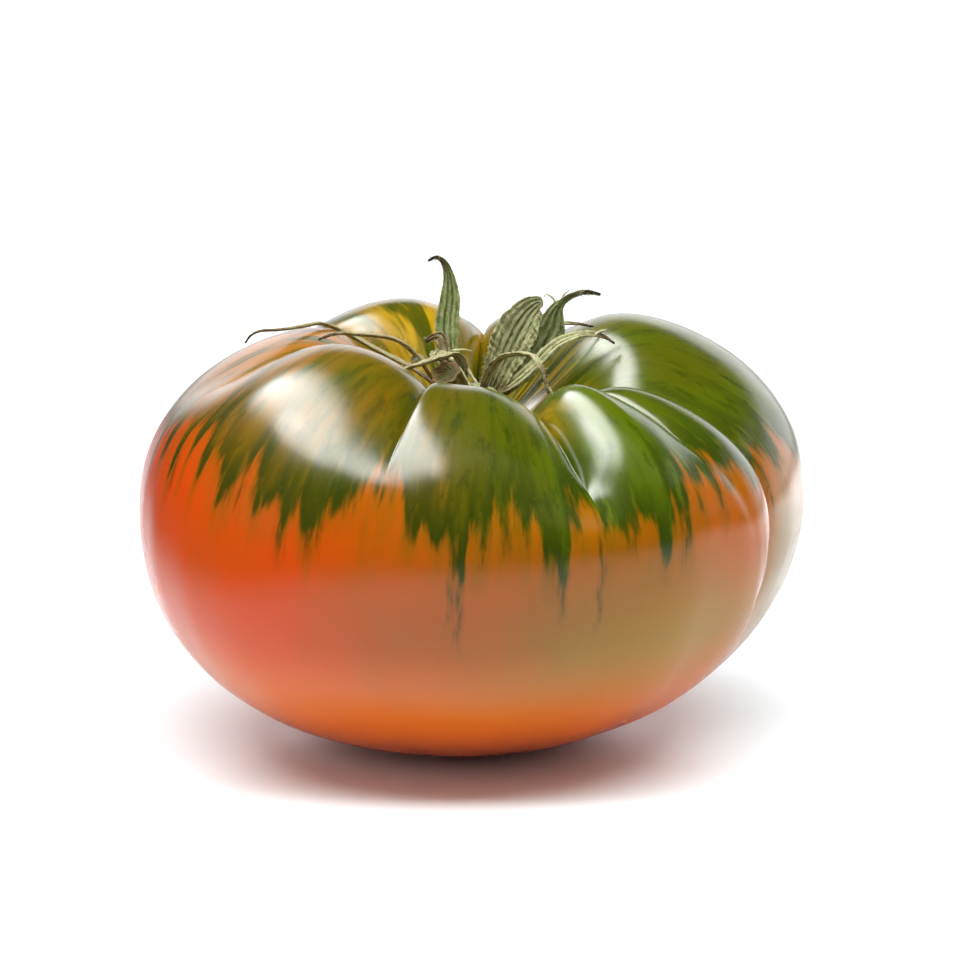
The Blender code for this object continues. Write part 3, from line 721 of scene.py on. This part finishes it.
# a blade carried along its path: across = cos v and up = sin v go round a closed section,
# point = midrib + side * half width * across + normal * (rise * |across|^1.5 + thickness * up + ribs + crinkle)
def sepalSurface(s, shared, seed):
    rib, side, normal = pathFrame(s["path"], shared["rings"], s["face"])
    along = np.linspace(0.0, 1.0, shared["rings"])[:, None]
    turn = turnsRound(shared["around"])
    across, up = np.cos(turn), np.sin(turn)
    outward = np.abs(across)
    stops = np.array(sepalShapes[s["shape"]])
    broad = np.interp(along, stops[:, 0], stops[:, 1])
    broad[1:-1] = (broad[:-2] + 2 * broad[1:-1] + broad[2:]) / 4
    waves = along * shared["edgeWaves"]
    ragged = np.where(across > 0, wobble(waves, seed), wobble(waves, seed + shared["otherEdgeSeed"]))
    broad = broad * (1.0 + s["ragged"] * ragged * outward)
    reach = s["width"] / 2 * broad * across
    ribWave = np.cos(math.pi * s["ribs"] * across) * (1.0 - across ** 2)
    ribs = shared["ribHeight"] * ribWave * np.sqrt(broad) * (s["width"] / 4 + shared["ribPlus"])
    crinkle = along * shared["crinkleWaves"] + across * shared["crinkleTurn"]
    crinkle = wobble(crinkle, seed + shared["crinkleSeed"])
    crinkle = shared["crinkle"] * outward ** 2 * crinkle * s["width"] / 3
    lift = s["rise"] * broad * outward ** shared["edgeRise"]
    least, more = shared["thin"]
    lift = lift + shared["thickness"] / 2 * up * (least + more * broad)
    lift = lift + ribs * np.where(up > 0, 1.0, shared["ribUnder"]) + crinkle
    points = rib + side * reach[..., None] + normal * lift[..., None]
    length = np.linalg.norm(np.diff(rib[:, 0], axis=0), axis=1).sum()
    unit = shared["flowReach"]
    flow = [reach / unit, 0 * reach + seed * shared["flowStep"], along * length / unit + 0 * reach]
    return points, along + 0 * across, 0.5 + 0.5 * ribWave + 0 * along, np.stack(flow, axis=-1)


sepalLook = {
    # groove colour: the dark green of the painted shade in the grooves between the ribs
    "grooveShade": (0.075, 0.105, 0.022, 1), "green": (0.21, 0.30, 0.09, 1), "beige": (0.50, 0.50, 0.27, 1),
    "straw": (0.66, 0.61, 0.38, 1), "brown": (0.10, 0.045, 0.017, 1), "tip": (0.028, 0.020, 0.014, 1),
    "bark": (0.19, 0.12, 0.055, 1),
    # streaks: across, along, detail, contrast. grain: scale, contrast
    "fibres": (260.0, 22.0, 3.0, 2.2), "patches": (60.0, 26.0, 3.0, 2.0), "mottle": (1500.0, 2.0),
    "patchDry": 0.9, "patchBurnt": 0.25, "crestShare": 0.9, "fibreHeight": 1.2,
    # smooth steps: from, to, and the shares there where they aren't 0 and 1
    "crest": (0.75, 1.35), "grooves": (0.95, 0.45, 0.0, 0.85),
    "spots": (0.62, 0.85), "spotsDry": (0.0, 1.0, 0.35, 0.9),
    "barkPatches": (0.1, 0.7, 0.55, 1.0), "root": (0.3, 0.06), "rootFibres": (0.65, 0.35, 0.35, 1.0),
    "burnt": (0.72, 0.9, 0.0, 0.75), "burntTip": (0.88, 1.0, 0.0, 0.9), "rough": (0.0, 1.0, 0.85, 0.6),
    "bump": {"Strength": 0.7, "Distance": 0.00012},
    "plain": {"Specular IOR Level": 0.3, "Subsurface Weight": 0.1, "Subsurface Radius": (0.6, 0.6, 0.2),
              "Subsurface Scale": 0.0006},
}


def makeSepalMaterial():
    look = sepalLook
    material, tree, shader = newMaterial("dryCalyx", look["plain"])
    flow = attribute(tree, "flow", "Vector")
    along = attribute(tree, "along")
    dry = attribute(tree, "dry")
    fibres = streaks(tree, flow, *look["fibres"])
    patches = streaks(tree, flow, *look["patches"])
    mottle, bumps = grain(tree, *look["mottle"])
    dryness = nudged(tree, dry, patches, look["patchDry"], clamp=True)
    body = mixColours(tree, dryness, look["green"], look["beige"])
    relief = sums(tree, "ADD", attribute(tree, "ridge"), fibres)
    # painted shade: the grooves between the ribs and fibres are painted dark green
    body = mixColours(tree, between(tree, relief, *look["grooves"]), body, look["grooveShade"])
    crests = times(tree, between(tree, relief, *look["crest"]), look["crestShare"])
    body = mixColours(tree, times(tree, crests, dryness), body, look["straw"])
    spots = times(tree, between(tree, mottle, *look["spots"]), between(tree, dry, *look["spotsDry"]))
    body = mixColours(tree, spots, body, look["brown"])
    browning = times(tree, attribute(tree, "brown"), between(tree, patches, *look["barkPatches"]))
    body = mixColours(tree, browning, body, look["bark"])
    rootShade = times(tree, between(tree, along, *look["root"]), between(tree, fibres, *look["rootFibres"]))
    body = mixColours(tree, rootShade, body, look["brown"])
    scorched = nudged(tree, attribute(tree, "burnt"), patches, look["patchBurnt"])
    body = mixColours(tree, between(tree, scorched, *look["burnt"]), body, look["brown"])
    body = mixColours(tree, between(tree, scorched, *look["burntTip"]), body, look["tip"])
    height = sums(tree, "MULTIPLY_ADD", fibres, look["fibreHeight"], bumps)
    bump = addNode(tree, "ShaderNodeBump", {**look["bump"], "Height": height})
    rough = between(tree, fibres, *look["rough"])
    feed(tree, shader, {"Base Color": body, "Roughness": rough, "Normal": bump.outputs[0]})
    return material


hairLook = {"grain": (900.0, 2.0), "dark": (0.34, 0.31, 0.17, 1), "pale": (0.66, 0.62, 0.44, 1),
            "rough": (0.0, 1.0, 0.7, 0.5)}


def makeHairMaterial():
    look = hairLook
    material, tree, shader = newMaterial("calyxHair")
    shade, _ = grain(tree, *look["grain"])
    colour = mixColours(tree, shade, look["dark"], look["pale"])
    feed(tree, shader, {"Base Color": colour, "Roughness": between(tree, shade, *look["rough"])})
    return material


calyxMaterial = makeSepalMaterial()
hairMaterial = makeHairMaterial()


# every sepal's mesh, and the points and settings that the hairs grow on
def makeSepals():
    held = []
    for seed, (name, s) in enumerate(sepals.items()):
        points, along, ridge, flow = sepalSurface(s, sepalShared, seed + 1)
        points = points + foot
        burnt = along * s.get("burnt", 1.0)
        values = {"flow": flow, "along": along, "ridge": ridge, "burnt": burnt, "dry": s["dry"],
                  "brown": s["brown"]}
        label = "sepal" + name[0].upper() + name[1:]
        ringPiece(label, points, values, calyxMaterial, "calyx")
        held.append((points, s["width"]))
    return held


sepalPoints = makeSepals()
print("sepals made")


# a lumpy ball: centre + radii * direction * (1 + unevenness * sum of (sine round * sine down) * 3 / size)
def lumpyBall(centre, radii, unevenness, seed, rings, around):
    polar = (np.arange(rings) + 1)[:, None] / (rings + 1) * math.pi
    turn = turnsRound(around)
    draw = np.random.default_rng(seed)
    relief = np.zeros((rings, around))
    for size in (3, 5, 8, 13):
        phase = draw.uniform(0, phaseSpan, 2)
        relief += np.sin(size * turn + phase[0]) * np.sin(size * 0.8 * polar + phase[1]) / size * 3
    sideways = np.sin(polar)
    direction = np.stack([sideways * np.cos(turn), sideways * np.sin(turn), np.cos(polar) + 0 * turn], axis=-1)
    points = np.array(centre) + direction * np.array(radii) * (1 + unevenness * relief * sideways)[..., None]
    return points + foot, flowRound(turn, 1.0, polar) * lumpFlow, relief


lumpFlow = 0.06  # size of the streaks' coordinates
lumps = {
    # the oval receptacle, and dried brown lumps where sepals leave it. ball: centre, radii, unevenness, seed,
    # rings, around. ridge: mean, and strength of the lumps. along: as on a sepal
    "receptacle": {"ball": ((0.2, 0.6, 48.2), (4.3, 3.7, 1.9), 0.06, 21, 40, 64), "ridge": (0.5, 0.4),
                   "along": 0.3, "dry": 0.55},
    "knobLeft": {"ball": ((-6.9, -0.3, 53.6), (1.0, 0.9, 0.8), 0.14, 31, 20, 32), "ridge": (0.3, 0.3),
                 "along": 0.9, "dry": 1.0},
    "knobBack": {"ball": ((-3.9, 2.4, 53.6), (1.5, 0.9, 0.8), 0.14, 32, 20, 32), "ridge": (0.3, 0.3),
                 "along": 0.9, "dry": 1.0},
}


def makeLumps():
    for name, s in lumps.items():
        points, flow, relief = lumpyBall(*s["ball"])
        mean, strength = s["ridge"]
        values = {"flow": flow, "along": s["along"], "ridge": mean + strength * relief, "dry": s["dry"]}
        ringPiece(name, points, values, calyxMaterial, "calyx")


makeLumps()
print("receptacle and knobs made")

# thin dried strands and spurs: path and radius
strands = {
    "strandMiddle": (((-2.6, 2.6, 53.2), (-1.9, 1.8, 53.0), (-1.0, 1.0, 51.9), (-0.2, 0.4, 50.6),
                      (0.8, -0.2, 49.4)), 0.32),
    "strandRight": (((-0.6, 2.4, 52.6), (0.4, 1.4, 51.2), (1.2, 0.6, 50.2), (2.0, 0.0, 49.2)), 0.28),
    "strandCross": (((-2.2, 2.4, 54.3), (-0.6, 1.8, 54.6), (0.6, 1.8, 54.4)), 0.16),
    "spurFront": (((10.9, -7.8, 51.9), (11.5, -8.0, 50.9), (11.9, -8.1, 50.2)), 0.22),
    "spurArch": (((17.6, 0.3, 57.0), (18.6, 0.2, 57.6), (19.4, 0.2, 57.8)), 0.22),
    "spurTop": (((12.6, 4.2, 60.3), (11.7, 4.0, 61.6), (10.9, 3.8, 62.0), (10.6, 3.7, 61.6)), 0.2),
    "spurTopRight": (((12.9, 4.3, 60.6), (13.4, 4.2, 61.9), (14.2, 4.1, 62.6)), 0.18),
}
strandShared = {"rings": 40, "around": 12, "thinning": 0.65, "uneven": 0.2, "waves": 4, "seed": 60,
                "across": (0.3, 1.0, 0.1), "along": (0.2, 0.7), "ridge": 0.8, "dry": 0.85, "flowLength": 0.1}


# a round strand about a path: its radius is the given one * (1 - thinning * along^2) * (1 + an uneven wave)
def makeStrands():
    s = strandShared
    along = np.linspace(0, 1, s["rings"])[:, None]
    turn = turnsRound(s["around"])
    for seed, (name, (path, radius)) in enumerate(strands.items()):
        line, side, normal = pathFrame(path, s["rings"], s["across"])
        wave = 1 + s["uneven"] * wobble(along * s["waves"], s["seed"] + seed)
        size = radius * (1 - s["thinning"] * along ** 2) * wave
        points = line + side * (size * np.cos(turn))[..., None]
        points = points + normal * (size * np.sin(turn))[..., None] + foot
        flow = flowRound(turn, radius / sepalShared["flowReach"], along * s["flowLength"], seed)
        start, gain = s["along"]
        values = {"flow": flow, "along": start + gain * along + 0 * turn, "ridge": s["ridge"], "dry": s["dry"]}
        ringPiece(name, points, values, calyxMaterial, "calyx")


makeStrands()

hairSettings = {"perSquareMm": 2.6, "length": (0.35, 0.8), "radius": 0.035, "lean": 0.5, "seed": 5,
                "skipRings": (12, 2), "sink": 0.03, "corners": (0, 2.094, 4.189)}


# short hairs on the sepals: each a thin three-sided spike from a random place on a blade, leaning a random way
def makeHairs():
    s = hairSettings
    draw = np.random.default_rng(s["seed"])
    feet, ways = [], []
    first, last = s["skipRings"]
    for points, width in sepalPoints:
        rings, around = points.shape[:2]
        length = np.linalg.norm(np.diff(points.mean(axis=1), axis=0), axis=1).sum()
        count = int(length * width * 2 * s["perSquareMm"])
        ring = draw.integers(first, rings - last, count)
        step = draw.integers(0, around, count)
        place = points[ring, step]
        out = np.cross(points[ring + 1, step] - points[ring - 1, step],
                       points[ring, (step + 1) % around] - points[ring, step - 1])
        out = unitRows(out)
        middle = points[ring].mean(axis=1)
        out = out * np.sign(np.sum(out * (place - middle), axis=1, keepdims=True))
        feet.append(place)
        ways.append(unitRows(out + s["lean"] * draw.normal(size=(count, 3))))
    place, way = np.vstack(feet), np.vstack(ways)
    count = len(place)
    size = draw.uniform(*s["length"], (count, 1))
    side = unitRows(np.cross(way, draw.normal(size=(count, 3))))
    other = np.cross(way, side)
    spread = [side * math.cos(a) + other * math.sin(a) for a in s["corners"]]
    corners = [place + s["radius"] * part - s["sink"] * way for part in spread]
    points = np.stack(corners + [place + way * size], axis=1).reshape(-1, 3)
    base = np.arange(count)[:, None] * 4
    faces = np.concatenate([base + np.array(f) for f in ((0, 1, 3), (1, 2, 3), (2, 0, 3), (0, 2, 1))])
    newPiece("calyxHairs", points, faces, hairMaterial, "calyx", None)
    print("hairs:", count)


makeHairs()
print("calyx made")

stalkSettings = {
    "foot": (-1.6, -1.2, 49.2), "end": (-2.9, -3.4, 52.3), "radius": 2.0, "clear": 0.3, "rings": 60, "around": 96,
    "ribs": 7, "ribHeight": 0.16, "dish": 0.8, "sideShare": 0.52, "rimStart": (0.5, 0.56), "rimPlace": (0.06, 0.1),
    "across": (0.0, 1.0, 0.2), "taper": 0.03, "shrink": 0.96, "waveSpan": 6.283,
    # roughness: height, waves round, seed, and at the end also waves inward and where it dies out
    "sideRough": (0.04, 3, 71), "endRough": (0.12, 9, 72, 3, 1.1),
    "pith": (0.15, 0.4), "pithShare": 0.8, "flow": (0.05, 0.1),
}
stalkLook = {
    "barkStreaks": (220.0, 16.0, 3.0, 2.0), "mottle": (1700.0, 2.0), "spots": (0.6, 0.85, 0.0, 0.6),
    "dark": (0.075, 0.062, 0.018, 1), "pale": (0.15, 0.115, 0.036, 1), "spot": (0.10, 0.06, 0.02, 1),
    "rim": (0.17, 0.09, 0.035, 1), "pith": (0.055, 0.048, 0.012, 1), "rough": (0.0, 1.0, 0.65, 0.85),
    "bump": {"Strength": 0.6, "Distance": 0.0001},
}


def makeStalkMaterial():
    look = stalkLook
    material, tree, shader = newMaterial("stalkOlive")
    bark = streaks(tree, attribute(tree, "flow", "Vector"), *look["barkStreaks"])
    mottle, bumps = grain(tree, *look["mottle"])
    colour = mixColours(tree, bark, look["dark"], look["pale"])
    colour = mixColours(tree, between(tree, mottle, *look["spots"]), colour, look["spot"])
    colour = mixColours(tree, attribute(tree, "rim"), colour, look["rim"])
    colour = mixColours(tree, attribute(tree, "pith"), colour, look["pith"])
    bump = addNode(tree, "ShaderNodeBump", {**look["bump"], "Height": bumps})
    rough = between(tree, mottle, *look["rough"])
    feed(tree, shader, {"Base Color": colour, "Roughness": rough, "Normal": bump.outputs[0]})
    return material


# the stub: its side rings have shallow ribs, radius + rib height * sine of the turn, and from where inward rises
# from 0 to 1 the rings shrink over a worn rim into an end dished by a quarter sine
def makeStalk():
    s = stalkSettings
    start, end = np.array(s["foot"]), np.array(s["end"])
    up = (end - start) / np.linalg.norm(end - start)
    start = start + up * s["clear"]
    end = end + up * s["clear"]
    side = unitRows(np.cross(up, np.array(s["across"])))
    other = np.cross(up, side)
    walk = np.linspace(0.0, 1.0, s["rings"])[:, None]
    turn = turnsRound(s["around"])
    atEnd = smoothStep(walk, *s["rimStart"])
    inward = np.clip((walk - s["sideShare"]) / (1 - s["sideShare"]), 0, 1)
    radius = s["radius"] * (1 - s["taper"] * atEnd) * (1 - s["shrink"] * inward)
    radius = radius * (1 + s["ribHeight"] / s["radius"] * np.sin(s["ribs"] * turn) * (1 - inward))
    height, waves, seed = s["sideRough"]
    radius = radius * (1 - height * wobble(turn / s["waveSpan"] * waves + 0 * walk, seed) * (1 - inward))
    level = np.minimum(walk / s["sideShare"], 1.0) * np.linalg.norm(end - start)
    dish = s["dish"] * np.sin(inward * math.pi / 2)
    height, waves, seed, inwardWaves, dyingOut = s["endRough"]
    rough = height * wobble(turn / s["waveSpan"] * waves + inward * inwardWaves, seed)
    rough = rough * np.sin(np.clip(inward * dyingOut, 0, 1) * math.pi)
    level = level - dish + rough
    points = start + side * (radius * np.cos(turn))[..., None] + other * (radius * np.sin(turn))[..., None]
    points = points + up * level[..., None] + foot
    place, width = s["rimPlace"]
    rim = np.exp(-(((inward - place) / width) ** 2)) * atEnd
    sideways, lengthways = s["flow"]
    values = {"flow": flowRound(turn, sideways, walk * lengthways), "rim": rim + 0 * turn,
              "pith": smoothStep(inward, *s["pith"]) * s["pithShare"] + 0 * turn}
    ringPiece("stalkStub", points, values, makeStalkMaterial(), "stalk")


makeStalk()
print("stalk made")


# the studio: a pale floor, soft panels overhead, an even fill and a pale backdrop
studio = {
    "floorSize": 6.0, "floorDrop": 0.0002, "floorPlain": {"Roughness": 0.35, "Specular IOR Level": 0.35},
    "floorSeen": (0.88, 0.96, 0.98, 1), "floorBounce": (0.76, 0.76, 0.77, 1), "flagged": (0.05, 0.05, 0.05, 1),
    # metres over which the floor's bounce rises: rightwards, backwards, and towards the middle
    "bounceRight": (-0.17, -0.05), "bounceBack": (-0.42, -0.09), "bounceNear": (1.1, 0.25),
    # place, the way its long side runs, shape, size, power, and whether it is seen in the gloss or lights surfaces
    "lights": {
        "panelEdge": ((-0.29, 0.15, 0.68), (0.37, -0.93, 0), "ELLIPSE", (1.10, 0.36), 3.4, "gloss"),
        "panelMiddle": ((-0.28, 0.15, 0.66), (0.37, -0.93, 0), "ELLIPSE", (0.98, 0.27), 2.8, "gloss"),
        "panelCore": ((-0.27, 0.15, 0.64), (0.37, -0.93, 0), "ELLIPSE", (0.84, 0.17), 1.9, "gloss"),
        "panelHeart": ((-0.315, -0.03, 0.61), (0.37, -0.93, 0), "ELLIPSE", (0.34, 0.13), 1.0, "gloss"),
        "rightCard": ((0.42, 0.34, 0.12), (0.6, -0.6, 0), "ELLIPSE", (0.60, 0.26), 0.17, "gloss"),
        "rightStrip": ((0.62, 0.15, 0.50), (0, 1, 0), "ELLIPSE", (0.50, 0.16), 0.12, "gloss"),
        "overhead": ((0.0, -0.26, 1.25), (1, 0, 0), "RECTANGLE", (2.1, 0.5), 38.0, "light"),
        "leftFill": ((-1.2, -0.3, 0.5), (0, 1, 0), "RECTANGLE", (1.2, 0.8), 4.8, "light"),
        "rightFill": ((1.2, 0.1, 0.5), (0, 1, 0), "RECTANGLE", (1.2, 0.8), 2.2, "light"),
        "frontFill": ((0.0, -1.3, 0.55), (1, 0, 0), "RECTANGLE", (1.2, 0.8), 1.3, "light"),
        "backFill": ((0.2, 1.3, 0.5), (1, 0, 0), "RECTANGLE", (1.2, 0.8), 3.0, "light"),
    },
    # pale patches on the floor behind to the right, one over the other: place, size, power
    "floorPatches": {"patchEdge": ((0.19, 0.17, 0.003), (0.34, 0.28), 0.08),
                     "patchMiddle": ((0.18, 0.16, 0.005), (0.27, 0.21), 0.065),
                     "patchCore": ((0.17, 0.15, 0.007), (0.20, 0.14), 0.036)},
    "patchRuns": (1, -0.8, 0), "patchFacing": 1.0,  # the patches face up to this height
    "room": (0.03, 0.03, 0.032, 1), "backdrop": (1.5, 1.5, 1.56, 1), "seen": (1.1, 1.1, 1.1, 1),
    # directions over which the backdrop rises: backwards, downwards, rightwards
    "backdropBack": (0.3, 0.7), "backdropDown": (0.52, 0.36), "backdropRight": (-0.5, -0.2),
}
cameraSettings = {"elevation": 14.0, "distance": 0.9, "aim": (2.44, 1.69, 34.77), "frameWidth": 136.68,
                  "sensor": 36.0, "clip": (0.01, 20.0)}


# the floor: pale to the camera, but flagged off to the left and in front in what it throws back on the fruit
def makeFloor():
    s = studio
    half, low = s["floorSize"] / 2, -s["floorDrop"]
    mesh = bpy.data.meshes.new("floor")
    corners = [(-half, -half, low), (half, -half, low), (half, half, low), (-half, half, low)]
    mesh.from_pydata(corners, [], [(0, 1, 2, 3)])
    material, tree, shader = newMaterial("paleFloor", s["floorPlain"])
    place = addNode(tree, "ShaderNodeTexCoord").outputs["Object"]
    way = addNode(tree, "ShaderNodeSeparateXYZ", {0: place})
    right = between(tree, way.outputs[0], *s["bounceRight"])
    lit = times(tree, right, between(tree, way.outputs[1], *s["bounceBack"]))
    away = addNode(tree, "ShaderNodeVectorMath", {0: place}, operation="LENGTH").outputs["Value"]
    lit = times(tree, lit, between(tree, away, *s["bounceNear"]))
    bounced = mixColours(tree, lit, s["flagged"], s["floorBounce"])
    toCamera = addNode(tree, "ShaderNodeLightPath").outputs["Is Camera Ray"]
    shade = mixColours(tree, toCamera, bounced, s["floorSeen"])
    tree.links.new(shade, shader.inputs["Base Color"])
    mesh.materials.append(material)
    floor = bpy.data.objects.new("floor", mesh)
    bpy.context.scene.collection.objects.link(floor)


# a panel that faces a point, and that either lights surfaces or is only seen in their gloss
def areaLight(name, place, runs, shape, size, power, work, facing=(0, 0, 0.04)):
    light = bpy.data.lights.new(name, "AREA")
    light.shape = shape
    light.size, light.size_y = size
    light.energy = power
    lamp = bpy.data.objects.new(name, light)
    back = (Vector(place) - Vector(facing)).normalized()
    long = (Vector(runs) - back * back.dot(Vector(runs))).normalized()
    turned = Matrix((long, back.cross(long), back)).transposed().to_4x4()
    lamp.matrix_world = Matrix.Translation(place) @ turned
    lamp.visible_camera = False
    lamp.visible_glossy = work == "gloss"
    lamp.visible_diffuse = work == "light"
    bpy.context.scene.collection.objects.link(lamp)


# the room: white where the camera sees past the floor, else dark, with a pale backdrop low down behind
def makeRoom():
    s = studio
    world = bpy.data.worlds.new("studio")
    bpy.context.scene.world = world
    world.use_nodes = True
    tree = world.node_tree
    way = addNode(tree, "ShaderNodeSeparateXYZ", {0: addNode(tree, "ShaderNodeTexCoord").outputs["Generated"]})
    low = between(tree, way.outputs[2], *s["backdropDown"])
    behind = times(tree, between(tree, way.outputs[1], *s["backdropBack"]), low)
    behind = times(tree, between(tree, way.outputs[0], *s["backdropRight"]), behind)
    colour = mixColours(tree, behind, s["room"], s["backdrop"])
    toCamera = addNode(tree, "ShaderNodeLightPath").outputs["Is Camera Ray"]
    colour = mixColours(tree, toCamera, colour, s["seen"])
    tree.links.new(colour, tree.nodes["Background"].inputs["Color"])


def makeCamera():
    s = cameraSettings
    camera = bpy.data.cameras.new("camera")
    camera.sensor_width = s["sensor"]
    camera.lens = s["sensor"] * s["distance"] / (s["frameWidth"] * mm)
    eye = bpy.data.objects.new("camera", camera)
    tilt = math.radians(s["elevation"])
    away = Vector((0, -math.cos(tilt), math.sin(tilt)))
    eye.location = Vector(s["aim"]) * mm + away * s["distance"]
    eye.rotation_euler = (-away).to_track_quat("-Z", "Y").to_euler()
    camera.clip_start, camera.clip_end = s["clip"]
    bpy.context.scene.collection.objects.link(eye)
    bpy.context.scene.camera = eye


makeFloor()
for name, settings in studio["lights"].items():
    areaLight(name, *settings)
for name, (place, size, power) in studio["floorPatches"].items():
    above = (place[0], place[1], studio["patchFacing"])
    areaLight(name, place, studio["patchRuns"], "ELLIPSE", size, power, "gloss", above)
makeRoom()
makeCamera()
bpy.context.scene.view_settings.view_transform = "Standard"
print("studio ready")
